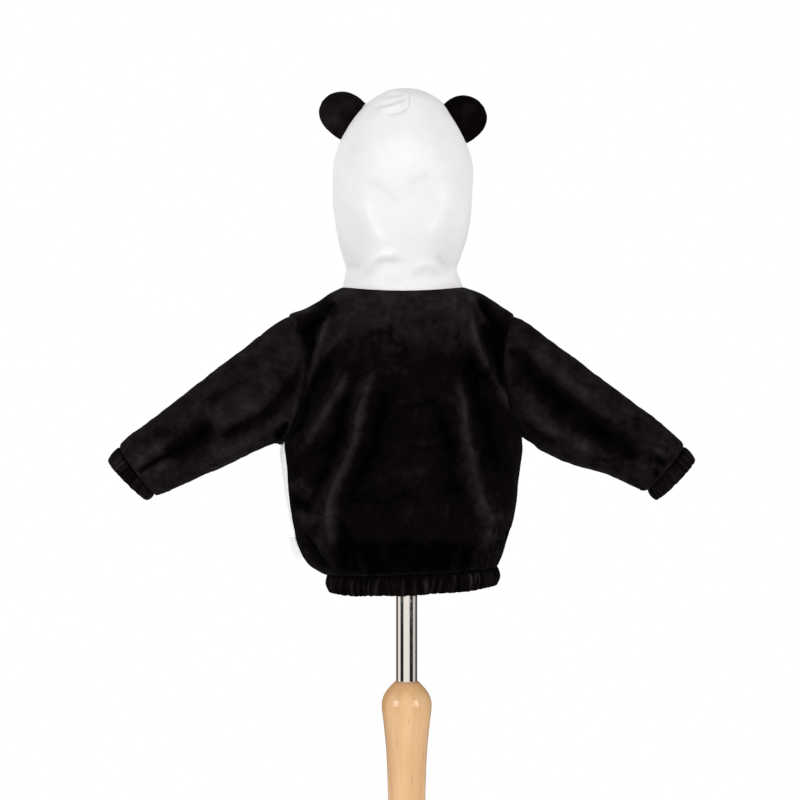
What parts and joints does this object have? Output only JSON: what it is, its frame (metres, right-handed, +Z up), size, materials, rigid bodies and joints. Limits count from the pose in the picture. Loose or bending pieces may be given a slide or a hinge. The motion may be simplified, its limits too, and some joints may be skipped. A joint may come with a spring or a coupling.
{
  "type": "costume hoodie on a dress form stand",
  "caption": "Child's plush animal costume hoodie, black with a white front and hood and round black ears, on a smooth limbless dress form with a chrome pole and turned wooden stand.",
  "frame": {"origin": "middle of the bounding box, on the floor under the stand's round base", "axes": "+Z up; the garment's front and face opening face -Y and its back faces +Y; the wearer's right sleeve points to -X seen with the left sleeve towards +X"},
  "size_m": [0.7046, 0.29, 1.0627],
  "materials": {
    "black_velour": "short plush pile with a soft grey sheen",
    "white_velour": "short plush pile",
    "white_ribbon": "smooth woven ribbon, blank",
    "cream_form": "smooth matt",
    "chrome": "polished",
    "light_beech": "satin clear varnish"
  },
  "bodies": {
    "root": {"back_panel": "black_velour", "front_panel": "white_velour", "sleeve_left": "black_velour", "sleeve_right": "black_velour", "cuff_left": "black_velour", "cuff_right": "black_velour", "hem_band": "black_velour", "hood_left": "white_velour", "hood_right": "white_velour", "ear_left": "black_velour", "ear_right": "black_velour", "side_label": "white_ribbon", "dress_form": "cream_form", "stand_pole": "chrome", "stand_column": "light_beech", "stand_base": "light_beech"}
  },
  "joints": []
}
